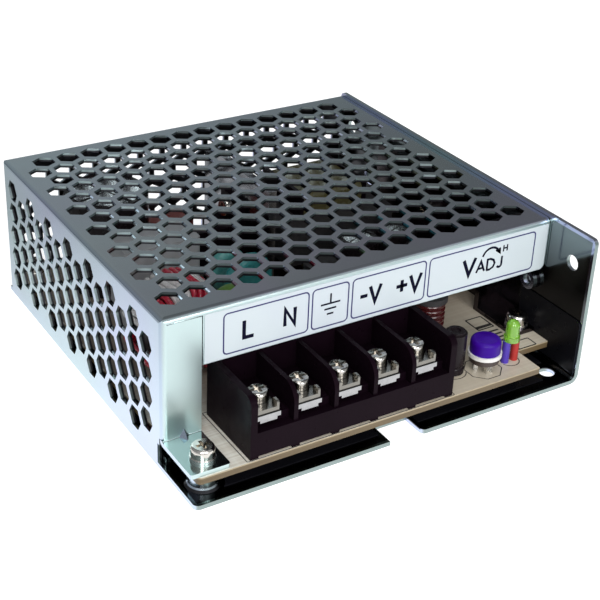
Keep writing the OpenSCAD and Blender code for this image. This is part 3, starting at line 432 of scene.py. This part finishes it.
for terminal in range(1, 6):
    LOOKS["clamp_washer_%d" % terminal] = CLAMP_SHADE
    LOOKS["terminal_screw_%d" % terminal] = SCREW
for name, obj in nodes.items():
    obj.data.materials.clear()
    obj.data.materials.append(LOOKS[name])


# ---- pieces and outlines ----

def mesh_object(name, verts, faces, mat):
    """A mesh in the scene, its points in metres."""
    mesh = bpy.data.meshes.new(name)
    mesh.from_pydata(verts, [], faces)
    mesh.materials.append(mat)
    obj = bpy.data.objects.new(name, mesh)
    bpy.context.scene.collection.objects.link(obj)
    return obj


def add_piece(name, parts, mat, place=at, smooth=False):
    """One piece, fixed to the unit, from several (points, faces); place turns a point in mm into metres."""
    verts, faces = [], []
    for points, part_faces in parts:
        faces += [tuple(len(verts) + i for i in face) for face in part_faces]
        verts += [place(*p) for p in points]
    piece = mesh_object(name, verts, faces, mat)
    if smooth:
        piece.data.shade_smooth()
    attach(piece, "unit")
    return piece


def arc(cx, cy, r, start, end, steps=12):
    """Points along an arc; angles in degrees."""
    turns = [math.radians(start + (end - start) * i / steps) for i in range(steps + 1)]
    return [(cx + r * math.cos(t), cy + r * math.sin(t)) for t in turns]


def rounded(x0, y0, x1, y1, r):
    """A closed rectangle with round corners."""
    return (arc(x1 - r, y0 + r, r, -90, 0, 5) + arc(x1 - r, y1 - r, r, 0, 90, 5)
            + arc(x0 + r, y1 - r, r, 90, 180, 5) + arc(x0 + r, y0 + r, r, 180, 270, 5))


def stroke(points, width, closed=False):
    """A flat line of one width along 2-D points, with mitred corners: (points, faces)."""
    pts = [Vector(p) for p in points]
    n = len(pts)
    edges = []
    for i, p in enumerate(pts):
        before = pts[i - 1] if closed or i else p + (p - pts[1])
        after = pts[(i + 1) % n] if closed or i < n - 1 else p + (p - pts[i - 1])
        arriving = (p - before).normalized()
        along = (arriving + (after - p).normalized()).normalized()
        side = Vector((-along.y, along.x))
        straight = side.dot(Vector((-arriving.y, arriving.x)))
        reach = width / 2 / max(straight, 0.4)  # no long spike at a sharp corner
        edges += [p + side * reach, p - side * reach]
    faces = [(2 * i, 2 * i + 1, (2 * i + 3) % (2 * n), (2 * i + 2) % (2 * n))
             for i in range(n if closed else n - 1)]
    return edges, faces


def sweep(path, radius, closed=False, sides=10):
    """A round wire along 3-D points: (points, faces)."""
    pts = [Vector(p) for p in path]
    n = len(pts)
    verts, faces = [], []
    side = None
    for i, p in enumerate(pts):
        before = pts[i - 1] if closed or i else p
        after = pts[(i + 1) % n] if closed or i < n - 1 else p
        along = (after - before).normalized()
        if side is None:
            side = along.orthogonal().normalized()
        side = (side - along * side.dot(along)).normalized()  # carried on, so that the wire doesn't twist
        other = along.cross(side)
        ring = arc(0, 0, radius, 0, 360 - 360 / sides, sides - 1)
        verts += [p + side * u + other * v for u, v in ring]
    for i in range(n if closed else n - 1):
        here, there = i * sides, (i + 1) % n * sides
        for k in range(sides):
            following = (k + 1) % sides
            faces.append((here + k, here + following, there + following, there + k))
    if not closed:
        faces += [tuple(reversed(range(sides))), tuple((n - 1) * sides + k for k in range(sides))]
    return verts, faces


# ---- printed marks: all places and widths are in mm, places from the case's corner ----

INK_LIFT = 0.015  # how far the ink stands clear of its face
LABEL_FACE = mm_box("front_label")[0].y
BOARD_FACE = mm_box("circuit_board")[1].z
LABEL_FRAMES = ((13.5, 33.0), (33.9, 42.6), (43.6, 62.1), (63.1, 91.9))  # left and right sides
LABEL_FRAME_LOW, LABEL_FRAME_HIGH = 23.8, 33.0
EARTH_X, EARTH_TOP = 38.3, 31.3
EARTH_BARS = ((2.35, 29.0), (1.45, 27.8), (0.8, 26.6))  # half length and height
LETTER_BASE, LETTER_CAP, SMALL_CAP = 26.5, 30.4, 29.1
LETTER_STROKE, SMALL_STROKE, TINY_STROKE = 0.84, 0.54, 0.36
EARTH_STROKE, FRAME_STROKE, OUTLINE_STROKE = 0.42, 0.32, 0.22


def on_label(x, z):
    """A place on the label's face, in metres."""
    return at(x, LABEL_FACE - INK_LIFT, z)


def on_board(x, y):
    """A place on the board's top, in metres."""
    return at(x, y, BOARD_FACE + INK_LIFT)


def add_label_piece(name, lines, width, mat, closed=False):
    """One piece of ink on the label, from lines of one width."""
    add_piece(name, [stroke(line, width, closed) for line in lines], mat, on_label)


def letter_v(x, half):
    """The points of a V that stands on x."""
    return [(x - half, LETTER_CAP), (x, LETTER_BASE), (x + half, LETTER_CAP)]


def terminal_signs():
    """L, N, -V and +V, and the V of V ADJ."""
    base, cap = LETTER_BASE, LETTER_CAP
    bar = (base + cap) / 2
    letter_l = [(18.1, cap), (18.1, base), (20.3, base)]
    letter_n = [(27.5, base), (27.5, cap), (29.8, base), (29.8, cap)]
    minus = [(45.6, bar), (47.4, bar)]
    plus = [[(54.7, bar), (57.5, bar)], [(56.1, bar - 1.4), (56.1, bar + 1.4)]]
    letters_v = [letter_v(49.35, 1.35), letter_v(59.6, 1.4), letter_v(73.9, 1.6)]
    return [letter_l, letter_n, minus, *plus, *letters_v]


def adjust_signs():
    """The small ADJ, and the arrow that bends over it."""
    base, cap = LETTER_BASE, SMALL_CAP
    letter_a = [[(76.0, base), (77.1, cap), (78.2, base)], [(76.4, base + 0.9), (77.8, base + 0.9)]]
    letter_d = [(78.9, base), (78.9, cap), (79.7, cap), (80.6, cap - 0.45), (80.95, (base + cap) / 2),
                (80.6, base + 0.45), (79.7, base), (78.8, base)]
    letter_j = [(82.9, cap)] + arc(82.3, base + 0.6, 0.6, 0, -160, 6)
    shaft = arc(79.7, 29.5, 2.35, 165, 35, 10)
    tip = (82.1, 30.2)
    head = [[(81.9 - size * 0.9, 30.7 + size * 0.3), tip, (81.9 + size * 0.1, 30.3 + size)]
            for size in (0.35, 0.7, 1.05)]  # filled by nested strokes
    return [*letter_a, letter_d, letter_j, shaft, *head]


def letter_h(left, right, low, high, bar):
    """The three strokes of an H."""
    return [[(left, low), (left, high)], [(right, low), (right, high)], [(left, bar), (right, bar)]]


def add_label_marks():
    """Frames, the earth sign, the terminal signs, and V ADJ with an arrow that points to H."""
    frames = [rounded(left, LABEL_FRAME_LOW, right, LABEL_FRAME_HIGH, 0.9)
              for left, right in LABEL_FRAMES]
    add_label_piece("label_frames", frames, FRAME_STROKE, FRAME_INK, closed=True)
    earth = [[(EARTH_X, EARTH_TOP), (EARTH_X, EARTH_BARS[0][1])]]
    earth += [[(EARTH_X - half, z), (EARTH_X + half, z)] for half, z in EARTH_BARS]
    add_label_piece("label_earth", earth, EARTH_STROKE, INK)
    add_label_piece("label_signs", terminal_signs(), LETTER_STROKE, INK)
    small = [stroke(line, SMALL_STROKE) for line in adjust_signs()]
    tiny = [stroke(line, TINY_STROKE) for line in letter_h(83.1, 84.1, 30.1, 31.7, 30.9)]
    add_piece("label_adjust", small + tiny, INK, on_label)


def add_board_marks():
    """Outlines round the places of parts, and plain frames and bars."""
    trimmer = middle("trimmer_base")
    lamp = middle("lamp_sleeve_blue", "lamp_sleeve_red")
    lines = [
        (arc(*trimmer, 4.3, 22.5, 337.5, 7), OUTLINE_STROKE, True),  # an octagon
        (arc(*lamp, 2.3, 200, 520, 30), OUTLINE_STROKE, False),
        (arc(*middle("output_choke_core"), 4.8, 0, 340, 36), OUTLINE_STROKE, False),
        (arc(*middle("control_capacitor"), 3.1, 30, 330, 24), OUTLINE_STROKE, False),
        (rounded(12.4, 1.75, 63.2, 20.7, 0.3), 0.2, True),  # round the terminal block
        (rounded(84.4, 20.4, 88.8, 25.4, 0.3), 0.4, True),
        ([(84.4, 21.4), (88.8, 21.4)], 1.0, False),
        (rounded(86.4, 9.6, 92.4, 12.6, 0.3), 0.35, True),
        ([(87.3, 9.6), (87.3, 12.6)], 0.9, False),
    ]
    lines += [([(85.0, y), (88.8, y)], 0.6, False) for y in (14.6, 16.0, 17.4, 18.8)]
    add_piece("board_outlines", [stroke(*line) for line in lines], SILK, on_board)


add_label_marks()
add_board_marks()


# ---- built pieces ----

def wire_turn(centre, angle, lean, inner, outer, half, bulge):
    """One turn of wire round the ring's section; lean shifts it one way at the back, the other in front."""
    path = []
    for r, y, start in ((outer, half, 0), (inner, half, 90), (inner, -half, 180), (outer, -half, 270)):
        slant = angle + math.copysign(lean, y)
        for reach, across in arc(r, y, bulge, start, start + 90, 4):
            path.append(centre + Vector((reach * math.cos(slant), across, reach * math.sin(slant))))
    return path


def add_ring_turns():
    """Two windings round the ring core, each in bands of red and white wire by turns; the white bands are
    painted highlights on the red wire.
    """
    low, high = mm_box("line_choke_core")
    centre = (low + high) / 2
    outer, half = (high.x - low.x) / 2, (high.y - low.y) / 2 + 0.8
    inner = outer * 0.55
    wire_r, turns, band = 0.66, 18, 3
    pitch, lean = math.radians(8.5), math.radians(4.0)
    red, highlight_turns = [], []
    for first in (18, 198):  # degrees round the ring where a winding begins
        for i in range(turns):
            # the white bands are painted highlights on the red wire
            band_turns, bulge = (highlight_turns, 1.7) if i // band % 2 else (red, 1.9)
            path = wire_turn(centre, math.radians(first) + pitch * i, lean, inner, outer, half, bulge)
            band_turns.append(sweep(path, wire_r, closed=True))
    red_piece = add_piece("ring_turns_red", red, CHOKE_RED, smooth=True)
    add_piece("ring_turns_painted_highlight", highlight_turns, WINDING_HIGHLIGHT, smooth=True)
    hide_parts("line_choke_winding")


def add_side_film():
    """The black film's edge, turned up between the board and the side wall."""
    x, thickness, r = mm_box("circuit_board")[1].x + 0.06, 0.25, 1.2
    front, back, bottom, top = 0.5, 20.2, 2.4, 15.6
    outline = [(front, bottom), (back, bottom)]
    outline += arc(back - r, top - r, r, 0, 90, 5) + arc(front + r, top - r, r, 90, 180, 5)
    n = len(outline)
    points = [(x + side, y, z) for side in (0, thickness) for y, z in outline]
    faces = [tuple(reversed(range(n))), tuple(range(n, 2 * n))]
    faces += [(i, (i + 1) % n, n + (i + 1) % n, n + i) for i in range(n)]
    add_piece("film_side", [(points, faces)], FILM)


def can_quarter(cx, cy, z, r, gap, turn):
    """One quarter of a can's top, parted from the next by a score: (points, faces)."""
    rise = 0.12
    first, last = 4, 86  # degrees
    flat = [(cx + u * math.cos(turn) - v * math.sin(turn), cy + u * math.sin(turn) + v * math.cos(turn))
            for u, v in [(gap, gap)] + arc(0, 0, r, first, last, 8)]
    n = len(flat)
    points = [(x, y, z) for x, y in flat] + [(x, y, z + rise) for x, y in flat]
    faces = [tuple(n + i for i in range(n))]
    faces += [(i, (i + 1) % n, n + (i + 1) % n, n + i) for i in range(n)]
    return points, faces


def add_can_tops():
    """Bare metal tops of the capacitors, scored in quarters so that they can vent."""
    output_cans = ((67.8, 47.5), (79.0, 47.5), (79.0, 36.0))  # centres, as in the part's source
    cans = [(place, 10.0, "output_capacitors") for place in output_cans]
    cans.append((middle("bulk_capacitor"), 20.0, "bulk_capacitor"))
    rim, sunk, twist = 1.45, 0.38, 20
    quarters = []
    for (cx, cy), d, node in cans:
        r, z, gap = d / 2 - rim, mm_box(node)[1].z - sunk, d * 0.012
        quarters += [can_quarter(cx, cy, z, r, gap, math.radians(twist + 90 * i)) for i in range(4)]
    add_piece("can_tops", quarters, CAN_TOP)


def add_seam_bead():
    """A bead that closes the seam between the corner flange's top edge and the fold."""
    left, right, y, z, r = 1.4, 8.9, 14.36, 33.9, 0.14
    add_piece("seam_bead", [sweep([(left, y, z), (right, y, z)], r)], COVER_ZINC, smooth=True)


add_ring_turns()
add_seam_bead()
add_side_film()
add_can_tops()


# ---- camera, floor, lights ----

CAMERA_AZIMUTH, CAMERA_ELEVATION, CAMERA_ROLL = -30.855, 27.822, 0.029  # degrees, degrees, radians
CAMERA_TARGET, CAMERA_DISTANCE = at(44.77, 53.11, 19.85), 0.30712  # metres
CAMERA_LENS, CAMERA_SENSOR = 79.656, 36.0  # mm
CAMERA_SHIFT = (0.0653, -0.0728)
FLOOR_HALF = 4.0
FLOOR_GREY = (0.45, 0.45, 0.45)
FLOOR_GLOW = 0.85  # added where the camera sees the floor
GLOW_CENTRE = (0.02, -0.05, 0.0)
GLOW_RADII = (0.08, 0.165)  # metres
GLOW_LEVELS = (1.10, 0.22)  # added where the floor is mirrored, inside the first radius and past the second
WORLD_TINT = (0.97, 1.0, 1.03, 1.0)
WORLD_BASE = 0.16
WORLD_PANELS = (  # azimuth from +Y towards +X, elevation, half width (all degrees), level
    (3, 12, 38, 0.25), (-75, 25, 55, 0.22), (-150, 35, 50, 0.45), (150, 30, 45, 0.45))
LAMPS = (  # name, place, aim, width in metres, watts
    ("key", (-0.45, -0.75, 0.42), (0.0, 0.0, 0.02), 0.35, 4.0),
    ("front", (0.06, -0.88, 0.36), (0.03, 0.0, 0.02), 0.35, 4.2),
    ("top", (-0.10, -0.30, 0.95), (0.0, 0.0, 0.02), 0.4, 1.7))


def direction(azimuth, elevation):
    """A unit vector; degrees, azimuth from +Y towards +X."""
    a, e = math.radians(azimuth), math.radians(elevation)
    return Vector((math.sin(a) * math.cos(e), math.cos(a) * math.cos(e), math.sin(e)))


def add_camera():
    """The photograph's camera; its azimuth counts from straight in front."""
    cam = bpy.data.objects.new("camera", bpy.data.cameras.new("camera"))
    bpy.context.scene.collection.objects.link(cam)
    away = direction(180.0 - CAMERA_AZIMUTH, CAMERA_ELEVATION)
    spin = away.to_track_quat("Z", "Y").to_matrix() @ Matrix.Rotation(CAMERA_ROLL, 3, "Z")
    cam.matrix_world = Matrix.Translation(CAMERA_TARGET + away * CAMERA_DISTANCE) @ spin.to_4x4()
    cam.data.sensor_width = CAMERA_SENSOR
    cam.data.lens = CAMERA_LENS
    cam.data.shift_x, cam.data.shift_y = CAMERA_SHIFT
    cam.data.clip_start, cam.data.clip_end = 0.01, 20.0
    bpy.context.scene.camera = cam


def add_floor():
    """White floor that keeps the object's shadow; what is mirrored of it fades away from the front."""
    s = Shader("floor", FLOOR_GREY, 0.9, Specular_IOR_Level=0.0)
    ray = s.node("ShaderNodeLightPath")
    place = s.node("ShaderNodeTexCoord").outputs["Object"]
    glow = s.span(s.step("ShaderNodeVectorMath", "DISTANCE", place, GLOW_CENTRE), *GLOW_LEVELS, *GLOW_RADII)
    mirrored = s.calc("MULTIPLY", ray.outputs["Is Glossy Ray"], glow)
    seen = s.calc("MULTIPLY", ray.outputs["Is Camera Ray"], FLOOR_GLOW)
    s.set("Emission Color", (1, 1, 1, 1))
    s.set("Emission Strength", s.calc("ADD", seen, mirrored))
    r = FLOOR_HALF
    mesh_object("floor", [(-r, -r, 0), (r, -r, 0), (r, r, 0), (-r, r, 0)], [(0, 1, 2, 3)], s.mat)


def add_world():
    """Dim grey studio with wide soft panels, which are what the plated sheet mirrors."""
    world = bpy.data.worlds.new("studio")
    bpy.context.scene.world = world
    world.use_nodes = True
    sky = Nodes(world.node_tree)
    view = sky.node("ShaderNodeTexCoord").outputs["Generated"]
    total = WORLD_BASE
    for azimuth, elevation, spread, level in WORLD_PANELS:
        nearness = sky.step("ShaderNodeVectorMath", "DOT_PRODUCT", view, direction(azimuth, elevation))
        panel = sky.span(nearness, 0.0, level, math.cos(math.radians(spread)), 1.0, smooth=True)
        total = sky.calc("ADD", panel, total)
    background = world.node_tree.nodes["Background"]
    sky.feed(background.inputs["Color"], WORLD_TINT)
    sky.feed(background.inputs["Strength"], total)


def add_lamp(name, place, aim, size, power):
    """A square area light that faces the place it aims at."""
    lamp = bpy.data.lights.new(name, "AREA")
    lamp.size = size
    lamp.energy = power
    obj = bpy.data.objects.new(name, lamp)
    bpy.context.scene.collection.objects.link(obj)
    obj.location = place
    obj.rotation_euler = (Vector(aim) - Vector(place)).to_track_quat("-Z", "Y").to_euler()


add_camera()
add_floor()
add_world()
for lamp in LAMPS:
    add_lamp(*lamp)
bpy.context.scene.view_settings.view_transform = "Standard"
